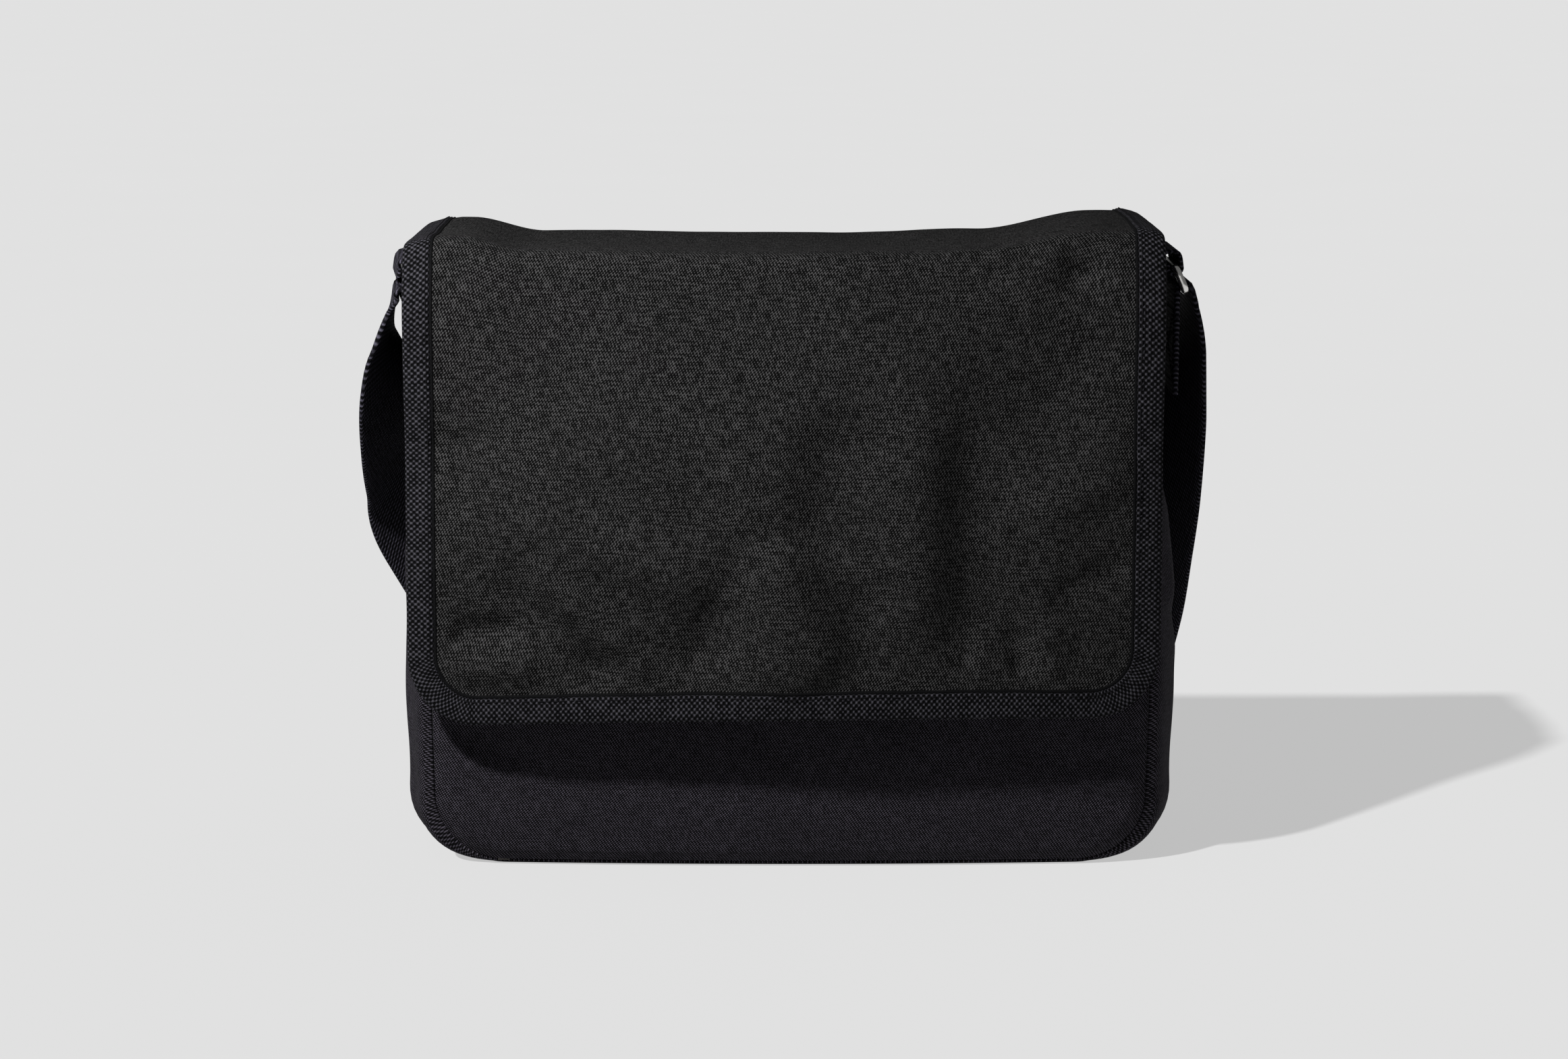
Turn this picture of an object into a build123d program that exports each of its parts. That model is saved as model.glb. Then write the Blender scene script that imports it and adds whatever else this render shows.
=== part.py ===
from build123d import *

import os

# Canvas messenger bag with a full-width flap, a webbing shoulder strap on two steel rings, and tape-bound edges.
#
# Frame: X runs across the bag, to the wearer's left when it is seen from the front; Y runs from the front panel to
# the back panel; Z is up. The origin is the centre of the base, on the surface that the bag stands on. Millimetres.

# ---- driving dimensions ----
bag_width = 372.0          # across the gusset, at its fullest
mouth_width = 346.0        # across the gusset, at the rim
fullest_z = 60.0           # height where the gusset is fullest
seam_width = 346.0         # across the front panel, between its two side seams
bag_depth = 116.0          # between the front and back seams, at the base
rim_height = 286.0         # top edge of the front panel and gusset
back_height = 292.0        # top edge of the back panel, where the flap is sewn on
corner_radius = 42.0       # bottom corners of the front and back panels
canvas = 1.2               # thickness of the outer cloth
lining = 0.6               # thickness of the lining cloth
tape = 0.8                 # thickness of the binding tape
tape_visible = 12.5        # half of a 25 mm tape, which shows on each side of an edge
gap = 0.2                  # air between two layers of cloth in one body
lining_gap = 0.1           # air between the flap's canvas and its lining, which lie closer
webbing_width = 50.0
webbing = 2.5              # thickness of the strap

# ---- flap ----
flap_width = 352.0
flap_bottom = 80.0         # height of the flap's lower edge above the base
flap_corner_radius = 33.0
flap_top_height = 299.6    # upper face of the flap's top, on the tape
flap_stack = 2 * tape + canvas + lining + 2 * gap + lining_gap
flap_front_top = 291.0     # top of the hanging half, just below the fold
flap_fold_y = -65.5        # axis of the fold between the top and the hanging half
flap_fold_z = 298.0
flap_fold_clearance = 4.5  # from that axis back to the edge of the flap's top

# ---- shape in side view: Y of each face at three heights, the first and last past the cloth's own edges ----
back_y = bag_depth / 2
arc_margin = 12.0
front_foot_y = -53.0
front_belly_y = -67.0
front_belly_z = 150.0
front_rim_y = -57.0
barrel_front_y = -50.0     # the gusset swells between these two
barrel_back_y = 55.0
flap_face_top_y = -64.0
flap_face_belly_y = -79.5
flap_face_belly_z = 190.0
flap_face_bottom_y = -84.3

# ---- inside and closure ----
board_size = (276.0, 92.0, 2.5)
pocket_width = 190.0
pocket_height = 140.0
pocket_bottom = 90.0
pocket_depth = 9.0         # from the back lining to the pocket's own cloth
closure_width = 25.0
closure_length = 80.0
closure_x = 95.0           # from the middle of the bag to each closure tape
closure_top = 205.0
closure_thickness = 1.5

# ---- rings and strap ----
wire = 3.6                 # ring wire diameter
ring_opening = 53.0        # inside length of the ring, which takes the webbing
ring_leans = {             # each ring's upper bar, lower bar (X, Z) and how far it has turned in plan, in degrees
    "left": ((183.0, 281.5), (183.6, 270.9), 9.0),
    "right": ((185.2, 286.0), (190.0, 275.4), 0.0),
}
tail_leans = {"left": 3.0, "right": 0.0}    # how far the lower end of each folded tail stands out from upright
tab_height = 7.6           # top of the tab above the ring's upper bar
tab_clearance = 0.3
tab_width = 48.0
tab_core = 0.4             # air between the tab's two layers, above the ring
strap_tail = 50.0          # folded end of the strap, below the ring
back_run_y = 137.0         # the strap's straight run behind the bag
back_run_z = 30.0
tail_y = 141.5             # the long strap's free end, outside that run
tail_end_x = -75.0
slider_x = 35.0
slider_length = 34.0
slider_width = 58.0
slider_rail = 3.4
slider_end_bar = 6.0
slider_plate = 2.6
slider_clearance = 0.5
slider_bar = 3.0
slider_fold = 32.0         # folded end of the short strap, past the slider's bar
slider_ramp = 16.0         # the long strap climbs over the short one in two steps of this length
keeper_x = -30.0
keeper_length = 12.0
keeper_wall = 1.5
keeper_clearance = 0.45

reach = 500.0              # longer than anything in the bag, for cutting blocks
spare = 1.0                # how far a cutting shape runs past the edge that it cuts
bend_step = 30             # degrees between two cross-sections of webbing that goes round a bar
ring_turn = 150            # how far the strap goes round the ring's lower bar, in degrees
bar_turn = 180             # how far it goes round the slider's bar


# ---- helpers ----
def save(node, shape):
    """Writes one node of the bag."""
    shape.label = node
    export_step(shape, f"parts/{node}.step")


def pane(half_bottom, half_top, bottom, top, radius):
    """A panel seen from the front, with rounded bottom corners, as a block that runs through the whole depth."""
    corners = [(-half_top, top), (-half_bottom, bottom), (half_bottom, bottom), (half_top, top)]
    face = make_face(Polyline(*corners, close=True))
    lower = face.vertices().group_by(Axis.Y)[0]
    return extrude(Plane.XZ * fillet(lower, radius), amount=reach, both=True)


def side_region(front, back):
    """Everything behind a front arc and before a back plane, seen from the side. front is three (Y, Z) points."""
    outline = ThreePointArc(*front) + Polyline(
        front[2], (front[2][0], reach), (back, reach), (back, -reach), (front[0][0], -reach), front[0]
    )
    return extrude(Plane.YZ * make_face(outline), amount=reach, both=True)


def side_band(front, thickness):
    """A sheet of even thickness behind a front arc, which runs straight on above and below the arc."""
    inner = [(y + thickness, z) for y, z in front]
    outline = (
        ThreePointArc(*front)
        + Polyline(front[2], (front[2][0], reach), (inner[2][0], reach), inner[2])
        + ThreePointArc(*inner[::-1])
        + Polyline(inner[0], (inner[0][0], -reach), (front[0][0], -reach), front[0])
    )
    return extrude(Plane.YZ * make_face(outline), amount=reach, both=True)


def plan_region(inset):
    """The barrel shape that the full gusset has, seen from above. It is straight at the front and back panels."""
    fullest = bag_width / 2 - inset
    seam = seam_width / 2 - inset
    middle = (barrel_front_y + barrel_back_y) / 2
    right = ThreePointArc((seam, barrel_front_y), (fullest, middle), (seam, barrel_back_y))
    left = ThreePointArc((-seam, barrel_back_y), (-fullest, middle), (-seam, barrel_front_y))
    back = Polyline((seam, barrel_back_y), (seam, reach), (-seam, reach), (-seam, barrel_back_y))
    front = Polyline((-seam, barrel_front_y), (-seam, -reach), (seam, -reach), (seam, barrel_front_y))
    return extrude(make_face(right + back + left + front), amount=reach, both=True)


def slab_y(y0, y1):
    """Everything between two planes across the depth."""
    return Pos(0, (y0 + y1) / 2, 0) * Box(2 * reach, abs(y1 - y0), 2 * reach)


def slab_z(z0, z1):
    """Everything between two heights."""
    return Pos(0, 0, (z0 + z1) / 2) * Box(2 * reach, 2 * reach, abs(z1 - z0))


def block(x0, x1, y0, y1, z0, z1):
    """A box between two corners."""
    return Pos((x0 + x1) / 2, (y0 + y1) / 2, (z0 + z1) / 2) * Box(abs(x1 - x0), abs(y1 - y0), abs(z1 - z0))


def front_curve(inset):
    """The front panel's outer face, moved inwards by inset."""
    return [
        (front_foot_y + inset, -arc_margin),
        (front_belly_y + inset, front_belly_z),
        (front_rim_y + inset, rim_height + arc_margin),
    ]


def bag_outline(inset, top):
    """The body seen from the front and from above, shrunk by inset on every side but the top."""
    taper = (bag_width - mouth_width) / 2 / (rim_height - fullest_z)
    half_foot = bag_width / 2 + taper * fullest_z - inset
    half_top = half_foot - taper * top
    return pane(half_foot - taper * inset, half_top, inset, top, corner_radius - inset) & plan_region(inset)


def bag_block(inset, top):
    """The whole body as one solid, shrunk by inset on every side but the top."""
    return bag_outline(inset, top) & side_region(front_curve(inset), back_y - inset)


def flap_curve(inset):
    """The flap's front face, moved inwards by inset."""
    return [
        (flap_face_bottom_y + inset, flap_bottom - arc_margin),
        (flap_face_belly_y + inset, flap_face_belly_z),
        (flap_face_top_y + inset, flap_front_top + arc_margin),
    ]


def flap_pane(inset, top=flap_front_top):
    """The hanging half of the flap seen from the front, shrunk by inset on its three free edges."""
    half = flap_width / 2 - inset
    return pane(half, half, flap_bottom + inset, top, flap_corner_radius - inset)


# ---- body of the bag ----
def make_shell():
    """Outer cloth, lining, base board, rim binding, pocket and closure tapes."""
    lining_at = canvas + gap
    inside_at = lining_at + lining
    outline = bag_outline(0, rim_height)
    save("front_panel", outline & side_band(front_curve(0), canvas))
    save("back_panel", bag_outline(0, back_height) & slab_y(back_y - canvas, back_y))
    walls = outline - bag_outline(canvas, rim_height + spare)
    save("gusset", walls & side_region(front_curve(canvas), back_y - canvas))

    outline = bag_outline(lining_at, rim_height)
    save("front_lining", outline & side_band(front_curve(lining_at), lining))
    save("back_lining", outline & slab_y(back_y - inside_at, back_y - lining_at))
    walls = outline - bag_outline(inside_at, rim_height + spare)
    save("gusset_lining", walls & side_region(front_curve(inside_at), back_y - inside_at))

    length, depth, thickness = board_size
    board_z = inside_at + gap
    save("base_board", block(-length / 2, length / 2, -depth / 2, depth / 2, board_z, board_z + thickness))
    save("mouth_binding", make_mouth_binding(inside_at))
    make_pocket(back_y - inside_at - gap)


def make_mouth_binding(inside_at):
    """Tape folded over the rim of the front panel and both ends of the gusset."""
    top = rim_height + gap + tape
    channel = bag_block(-gap - tape, top) - bag_block(inside_at + gap + tape, top + spare)
    cloth = bag_block(-gap, rim_height + gap) - bag_block(inside_at + gap, top + spare)
    channel &= slab_z(rim_height - tape_visible, top)
    channel &= slab_y(-reach, back_y - inside_at - gap)
    return channel - cloth


def make_pocket(wall_y):
    """A patch pocket on the back lining, held off it by its own two sides and bottom, and bound at the top."""
    half = pocket_width / 2
    front_y = wall_y - pocket_depth
    top = pocket_bottom + pocket_height
    tray = block(-half, half, front_y, wall_y, pocket_bottom, top)
    hollow = block(-half + canvas, half - canvas, front_y + canvas, wall_y, pocket_bottom + canvas, top)
    save("inner_pocket", tray - hollow)

    outer = block(-half + 2 * canvas, half - 2 * canvas, front_y - gap - tape, front_y + canvas + gap + tape,
                  top - tape_visible, top + gap + tape)
    slot = block(-half, half, front_y - gap, front_y + canvas + gap, top - tape_visible, top + gap)
    save("pocket_binding", outer - slot)


# ---- flap ----
def make_flap_top():
    """The part of the flap that covers the mouth, from the back seam to the front fold."""
    half = flap_width / 2
    front = flap_fold_y + flap_fold_clearance
    canvas_top = flap_top_height - tape - gap
    lining_top = canvas_top - canvas - lining_gap
    bottom = flap_top_height - flap_stack

    edge = half - tape - gap
    save("flap_top_panel", block(-edge, edge, front, back_y, canvas_top - canvas, canvas_top))
    save("flap_top_lining", block(-edge, edge, front, back_y, lining_top - lining, lining_top))
    for side, name in ((-1, "left"), (1, "right")):
        folded = block(side * half, side * (half - tape_visible), front, back_y, bottom, flap_top_height)
        cloth = block(0, side * (edge + gap), front, back_y, bottom + tape, flap_top_height - tape)
        save(f"flap_top_binding_{name}", folded - cloth)


def make_flap_front():
    """The hanging half of the flap, with tape round its three free edges and closure tape on its inside."""
    at_canvas = tape + gap
    at_lining = at_canvas + canvas + lining_gap
    inner_face = flap_stack
    cloth_pane = flap_pane(at_canvas)
    save("flap_front_panel", cloth_pane & side_band(flap_curve(at_canvas), canvas))
    save("flap_front_lining", cloth_pane & side_band(flap_curve(at_lining), lining))

    above = flap_front_top + spare
    folded = flap_pane(0) - flap_pane(tape_visible, above)
    folded &= side_band(flap_curve(0), inner_face)
    slot = flap_pane(tape, above) & side_band(flap_curve(tape), inner_face - 2 * tape)
    save("flap_front_binding", folded - slot)

    hook_at = at_lining + lining + gap
    for side, name in ((-1, "left"), (1, "right")):
        window = closure_window(side)
        hook = window & side_band(flap_curve(hook_at), closure_thickness)
        loop = window & side_band(front_curve(-gap - closure_thickness), closure_thickness)
        save(f"hook_tape_{name}", hook)
        save(f"loop_tape_{name}", loop)


def closure_window(side):
    """The upright strip that a pair of closure tapes fills, seen from the front."""
    x = side * closure_x
    return block(x - closure_width / 2, x + closure_width / 2, -reach, reach, closure_top - closure_length,
                 closure_top)


# ---- rings and the tabs that hold them ----
def on_side(name, shape):
    """A shape made for the right-hand end of the bag, turned in plan with its ring and put on the side named."""
    (bar_x, _), _, turned = ring_leans[name]
    shape = shape.rotate(Axis((bar_x, 0, 0), (0, 0, 1)), -turned)
    return shape if name == "right" else mirror(shape, about=Plane.YZ)


def make_ring(name):
    """A rectangular ring of round wire, hanging from its tab to the strap."""
    (bar_x, bar_z), (lower_bar_x, lower_bar_z), _ = ring_leans[name]
    run = Vector(lower_bar_x - bar_x, 0, lower_bar_z - bar_z)
    middle = Vector((bar_x + lower_bar_x) / 2, 0, (bar_z + lower_bar_z) / 2)
    plane = Plane(origin=middle, x_dir=(0, 1, 0), z_dir=Vector(0, 1, 0).cross(run))
    path = (plane * RectangleRounded(ring_opening + wire, run.length, wire)).wire()
    section = Plane(origin=path @ 0, z_dir=path % 0) * Circle(wire / 2)
    return on_side(name, sweep(section, path=path))


def make_tab(name):
    """Webbing folded round the ring's upper bar and stitched to itself above it."""
    (bar_x, bar_z), _, _ = ring_leans[name]
    inner = wire / 2 + tab_clearance
    outer = inner + webbing
    loop = Pos(bar_x, bar_z) * Circle(outer)
    neck = Pos(bar_x, bar_z + tab_height / 2) * Rectangle(2 * webbing + tab_core, tab_height)
    eye = Pos(bar_x, bar_z) * Circle(inner)
    return on_side(name, extrude(Plane.XZ * (loop + neck - eye), amount=tab_width / 2, both=True))


# ---- strap ----
# Centre line of each side of the strap, from below its ring to its back run, for the right-hand end of the bag.
# Each entry is a point and the direction that the webbing's width lies nearest to. The webbing leaves the ring with
# its width across the gusset, turns its inner face forwards as it drops, and ends up standing on its edge.
right_run = [
    ((196.5, 0, 271), (0, 1, 0)),
    ((199, 3, 250), (-0.15, 1, 0)),
    ((197, 12, 220), (-0.35, 0.9, 0)),
    ((194, 26, 184), (-0.5, 0.85, 0)),
    ((190.5, 46, 146), (-0.6, 0.7, 0.3)),
    ((187, 67, 111), (-0.6, 0.4, 0.6)),
    ((181, 89, 79), (-0.5, 0.1, 0.85)),
    ((170, 108, 55), (-0.2, 0, 1)),
    ((153, 123, 40), (0, 0, 1)),
    ((129, 133, 32), (0, 0, 1)),
    ((100, back_run_y, back_run_z), (0, 0, 1)),
]
left_run = [
    ((189.5, 0, 265), (0.14, 0.95, 0.1)),
    ((194.5, -1, 249), (0.08, 0.91, 0.37)),
    ((197, 3, 231), (-0.27, 0.83, 0.5)),
    ((193, 19, 207), (-0.48, 0.7, 0.5)),
    ((191, 48, 180), (-0.55, 0.66, 0.46)),
    ((184.5, 62, 154), (-0.74, 0.48, 0.45)),
    ((175, 77, 130), (-0.66, 0.33, 0.64)),
    ((166, 94, 105), (-0.4, 0.2, 0.88)),
    ((155, 108, 78), (-0.2, 0.1, 0.97)),
    ((141, 120, 54), (-0.1, 0, 1)),
    ((122, 131, 37), (0, 0, 1)),
    ((100, back_run_y, back_run_z), (0, 0, 1)),
]


def strap_side(name, run):
    """One side of the strap: its folded tail, the turn over the ring's lower bar and the run down to the back."""
    (bar_x, _), (lower_bar_x, lower_bar_z), turned = ring_leans[name]
    turn = wire / 2 + tab_clearance + webbing / 2
    across = Vector(0, 1, 0).rotate(Axis.Z, -turned)
    tail = [(Vector(lower_bar_x - turn + tail_leans[name], 0, lower_bar_z - strap_tail), across)]
    over_bar = [
        (Vector(lower_bar_x, 0, lower_bar_z) + Vector(-turn, 0, 0).rotate(Axis.Y, angle), across)
        for angle in range(0, ring_turn + 1, bend_step)
    ]
    route = tail + over_bar + [(Vector(point), Vector(width)) for point, width in run]
    return route if name == "right" else mirrored(route)


def mirrored(route):
    """The same route on the other side of the bag."""
    return [(Vector(-p.X, p.Y, p.Z), Vector(-w.X, w.Y, w.Z)) for p, w in route]


def webbing_along(route):
    """Flat webbing lofted through cross-sections that are square to its route."""
    points = [point for point, _ in route]
    sections = []
    for i, (point, near) in enumerate(route):
        along = (points[min(i + 1, len(points) - 1)] - points[max(i - 1, 0)]).normalized()
        width = (near - along * near.dot(along)).normalized()
        plane = Plane(origin=point, x_dir=width, z_dir=along)
        sections.append((plane * Rectangle(webbing_width, webbing)).face())
    length = sum((b - a).length for a, b in zip(points, points[1:]))
    print("webbing length", round(length), "mm")
    return loft(sections, ruled=True)


def upright_route(points):
    """A route in plan, at the height of the back run, for webbing that stands on its edge."""
    return [(Vector(x, y, back_run_z), Vector(0, 0, 1)) for x, y in points]


def make_long_strap():
    """From the right-hand ring through the slider, with its free end lying on the outside of the short strap."""
    over_slider = [
        (slider_x + 2 * slider_ramp, (back_run_y + tail_y) / 2),
        (slider_x + slider_ramp, tail_y),
        (slider_x - slider_ramp, tail_y),
        (tail_end_x, tail_y),
    ]
    return webbing_along(strap_side("right", right_run) + upright_route(over_slider))


def make_short_strap():
    """From the left-hand ring to the slider, folded round its bar and stitched back to itself."""
    turn = slider_bar / 2 + tab_clearance + webbing / 2
    bar_y = back_run_y - turn
    round_bar = [
        Vector(slider_x, bar_y, 0) + Vector(0, turn, 0).rotate(Axis.Z, -angle)
        for angle in range(0, bar_turn + 1, bend_step)
    ]
    fold = [(p.X, p.Y) for p in round_bar] + [(slider_x - slider_fold, bar_y - turn)]
    return webbing_along(strap_side("left", left_run) + upright_route(fold))


def make_slider():
    """A frame that lies over the long strap, and the bar inside it that the short strap is folded round."""
    turn = slider_bar / 2 + tab_clearance + webbing / 2
    bar_y = back_run_y - turn
    half_length = slider_length / 2
    low = back_run_z - slider_width / 2
    high = back_run_z + slider_width / 2
    plate_y = tail_y + webbing / 2 + slider_clearance
    window = half_length - slider_end_bar
    frame = block(-half_length, half_length, plate_y, plate_y + slider_plate, low, high)
    frame -= block(-window, window, 0, reach, low + slider_rail, high - slider_rail)
    for z0, z1 in ((low, low + slider_rail), (high - slider_rail, high)):
        frame += block(-half_length, half_length, bar_y - slider_bar / 2, plate_y + slider_plate, z0, z1)
    bar = Pos(slider_x, bar_y, back_run_z) * Cylinder(slider_bar / 2, slider_width - 2 * slider_rail)
    return Pos(slider_x, 0, 0) * frame, bar


def make_keeper():
    """A flat loop that slides along both layers of the strap and holds the free end down."""
    inner_y0 = back_run_y - webbing / 2 - keeper_clearance
    inner_y1 = tail_y + webbing / 2 + keeper_clearance
    inner_half = webbing_width / 2 + keeper_clearance
    z0 = back_run_z - inner_half
    z1 = back_run_z + inner_half
    x0 = keeper_x - keeper_length / 2
    x1 = keeper_x + keeper_length / 2
    outer = block(x0, x1, inner_y0 - keeper_wall, inner_y1 + keeper_wall, z0 - keeper_wall, z1 + keeper_wall)
    return outer - block(x0, x1, inner_y0, inner_y1, z0, z1)


def make_strap_body():
    """Strap, rings, ring tabs, slider and keeper."""
    for name in ring_leans:
        save(f"ring_{name}", make_ring(name))
        save(f"ring_tab_{name}", make_tab(name))
    save("strap_long", make_long_strap())
    save("strap_short", make_short_strap())
    frame, bar = make_slider()
    save("slider_frame", frame)
    save("slider_bar", bar)
    save("strap_keeper", make_keeper())


os.makedirs("parts", exist_ok=True)
make_shell()
make_flap_top()
make_flap_front()
make_strap_body()
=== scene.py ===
import math

import bpy
import numpy as np
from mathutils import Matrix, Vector, noise


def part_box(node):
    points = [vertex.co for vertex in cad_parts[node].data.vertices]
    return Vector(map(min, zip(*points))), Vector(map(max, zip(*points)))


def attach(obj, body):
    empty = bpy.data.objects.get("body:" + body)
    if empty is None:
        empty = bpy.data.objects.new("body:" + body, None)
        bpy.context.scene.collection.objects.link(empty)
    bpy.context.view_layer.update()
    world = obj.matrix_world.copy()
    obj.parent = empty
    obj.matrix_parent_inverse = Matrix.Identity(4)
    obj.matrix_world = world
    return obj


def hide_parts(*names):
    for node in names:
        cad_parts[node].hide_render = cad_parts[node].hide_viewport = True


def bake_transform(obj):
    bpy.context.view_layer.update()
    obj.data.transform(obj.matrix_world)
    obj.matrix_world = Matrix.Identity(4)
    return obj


# Canvas messenger bag: the cloth, tape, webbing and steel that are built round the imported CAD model.
# Lengths are millimetres, in the CAD model's frame, until mesh_piece() turns them into metres.

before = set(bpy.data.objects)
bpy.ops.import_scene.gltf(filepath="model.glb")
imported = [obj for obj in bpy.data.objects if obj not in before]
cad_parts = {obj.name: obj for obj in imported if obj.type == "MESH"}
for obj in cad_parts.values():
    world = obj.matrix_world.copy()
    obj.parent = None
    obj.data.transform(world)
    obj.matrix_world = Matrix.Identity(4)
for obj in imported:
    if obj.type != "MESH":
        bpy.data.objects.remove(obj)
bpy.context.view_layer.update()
scene = bpy.context.scene
MM = 0.001


def cad_box(node):
    """Lowest and highest corner of a CAD node, in millimetres."""
    low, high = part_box(node)
    return np.array(low) / MM, np.array(high) / MM


# ---- driving sizes, from the frame ----
flap_low, flap_high = cad_box("flap_front_binding")
flap_half = flap_high[0]
flap_bottom = flap_low[2]
rim_z = cad_box("gusset")[1][2]
body_half = cad_box("gusset")[1][0]
panel_half = cad_box("front_panel")[1][0]
back_y = cad_box("back_panel")[1][1]
back_z = cad_box("back_panel")[1][2]
pocket_low, pocket_high = cad_box("inner_pocket")
hook_low, hook_high = cad_box("hook_tape_right")
strap_rear_y = cad_box("strap_long")[1][1]

# ---- sizes of the cloth itself ----
SIDES = {"left": -1, "right": 1}
CANVAS = 1.2
LINING = 0.6
LINING_GAP = 0.2           # air between the body's canvas and its lining
FLAP_LINING_GAP = 0.15     # the same in the flap
TAPE_SHOWS = 12.5          # half the width of the tape that is folded over every edge
SEWN_AT = TAPE_SHOWS - 1.6  # where the tape is stitched down, from the cloth's edge
WEBBING = 2.5
WEBBING_WIDTH = 50.0
TAB_WEBBING = 1.9
TAB_WIDTH = 48.0
WIRE = 3.6
WIRE_TURN = WIRE / 2 + 0.3  # from the middle of a wire to the webbing round it
FLAP_TOP_Z = 296.5
FLAP_CORNER = 33.0
FLAP_ROUND = 17.0          # how much further forward the flap's middle hangs than its sides
PANEL_ROUND = 6.0          # the same for the front panel
SEAM_IN = 1.5              # how much narrower the seam is near the base than at the mouth, on each side
SEAM_HALF = panel_half - SEAM_IN
SEAM_Z = 1.6
SEAM_CORNER = 34.0
SEAM_ROLL = 0.8            # half the thickness of the rolled seam between panel and gusset
CORNER_SWELL = 3.0         # how much fuller the gusset is round the two bottom corners
GUSSET_WIDTH = 118.0       # from seam to seam, laid flat

# ---- studio and camera, in metres ----
FLOOR_HALF = 60.0
FLOOR_DARK = (0.119, 0.119, 0.119)
FLOOR_LIGHT = (0.123, 0.123, 0.123)
FLOOR_GLOW = 0.51
SKY_STRENGTH = 0.15
SUN_STRENGTH = 9.1
SUN_ANGLE = math.radians(2.0)
LAMP_TILT = (math.radians(50), 0, math.radians(-44.4))
LAMP_TOWARDS = Vector((-0.536, -0.547, 0.644))
LAMP_AIM = Vector((0, -0.07, 0.17))
LAMP_POWER = 14.6
LAMP_SIZE = 0.06
LAMP_DISTANCE = 0.78
CAMERA_PLACE = (0, -1.56, 0.4394)
CAMERA_DOWN = 10.306       # degrees below level
LENS = 74.6
SENSOR = 36.0


# ---- small helpers ----
def smooth(t):
    """0 below 0, 1 above 1 and a smooth step between."""
    t = np.clip(t, 0.0, 1.0)
    return t * t * (3 - 2 * t)


def unit(v):
    """Vectors in the last axis, made one long."""
    return v / np.maximum(np.linalg.norm(v, axis=-1, keepdims=True), 1e-9)


def lengths_along(points):
    """Running length at each point of a line."""
    steps = np.linalg.norm(np.diff(points, axis=0), axis=1)
    return np.concatenate([[0.0], np.cumsum(steps)])


def resampled(points, step):
    """The same line with points about step apart."""
    points = np.asarray(points, float)
    at = lengths_along(points)
    count = max(2, int(round(at[-1] / step)) + 1)
    want = np.linspace(0, at[-1], count)
    return np.stack([np.interp(want, at, points[:, k]) for k in range(points.shape[1])], 1)


def rounded(points, radius, step=1.0):
    """A line of straight runs with its corners rounded off. Its ends stay where they are."""
    line = resampled(points, step)
    half = int(radius / step)
    window = np.hanning(2 * half + 3)
    window /= window.sum()
    reach = len(window) // 2
    before = 2 * line[0] - line[reach:0:-1]
    after = 2 * line[-1] - line[-2 : -reach - 2 : -1]
    padded = np.concatenate([before, line, after])
    return np.stack([np.convolve(padded[:, k], window, "valid") for k in range(line.shape[1])], 1)


def u_line(mouth_half, half, mouth, foot, radius, turns, step):
    """A U with round corners: down the left, along its foot and up the right.

    Returns the line, the directions square to it and its running length."""
    turn = np.linspace(0, np.pi / 2, turns)
    height = math.copysign(radius, mouth - foot) * (1 - np.sin(turn))
    corner = np.stack([-(half - radius + radius * np.cos(turn)), foot + height], 1)
    left = np.concatenate([[(-mouth_half, mouth)], corner])
    line = resampled(np.concatenate([left, left[::-1] * (-1, 1)]), step)
    return line, square_to(line), lengths_along(line)


def square_to(line):
    """The directions square to a flat line."""
    ahead = unit(np.gradient(line, axis=0))
    return np.stack([ahead[:, 1], -ahead[:, 0]], 1)


def inside_u(x, above, half, radius):
    """How far inside a U a place is. above is its height over the U's foot."""
    side = half - np.abs(x)
    round_ = radius - np.hypot(radius - side, radius - above)
    return np.where((side < radius) & (above < radius), round_, np.minimum(side, above))


def grid_uv(across, along):
    """Flat cloth coordinates of a grid, from those of its columns and of its rows."""
    return np.stack(np.broadcast_arrays(across[None, :], along[:, None]), 2)


def through(points, step):
    """A smooth Catmull-Rom line through the points. A point may carry more numbers after x, y, z."""
    p = np.asarray(points, float)
    p = np.concatenate([[2 * p[0] - p[1]], p, [2 * p[-1] - p[-2]]])
    out = []
    for i in range(1, len(p) - 2):
        count = max(2, int(np.linalg.norm(p[i + 1, :3] - p[i, :3]) / step))
        t = np.linspace(0, 1, count, endpoint=False)[:, None]
        a = 2 * p[i]
        b = p[i + 1] - p[i - 1]
        c = 2 * p[i - 1] - 5 * p[i] + 4 * p[i + 1] - p[i + 2]
        d = 3 * p[i] - p[i - 1] - 3 * p[i + 1] + p[i + 2]
        out.append(0.5 * (a + b * t + c * t**2 + d * t**3))
    out.append(p[-2:-1])
    return np.concatenate(out)


def fold(x, z, start, end, width, height, right=None):
    """A soft fold in cloth along a line that runs down, highest in its middle. Negative heights are valleys.

    right is its width on the right-hand side, where that differs."""
    ax, az = start
    dx, dz = end[0] - ax, end[1] - az
    inside = np.clip(((x - ax) * dx + (z - az) * dz) / (dx * dx + dz * dz), 0, 1)
    away = np.hypot(x - ax - inside * dx, z - az - inside * dz)
    on_right = (x - ax) * dz - (z - az) * dx < 0
    away = away / np.where(on_right, right or width, width)
    taper = smooth(0.25 + inside * 3) * smooth(0.25 + (1 - inside) * 3)
    return height * taper * np.exp(-(away**2))


def dent(x, z, middle, size, height):
    """A round or oval swelling, or a hollow where height is negative."""
    return height * np.exp(-(((x - middle[0]) / size[0]) ** 2) - ((z - middle[1]) / size[1]) ** 2)


def waves(x, z, spacing, seed):
    """Slow, uneven swells between -1 and 1, as slack cloth has."""
    flat = np.stack([np.ravel(x), np.ravel(z)], 1) / spacing
    values = [noise.noise((float(a), float(b), seed)) for a, b in flat]
    return np.reshape(values, np.shape(x))


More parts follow.
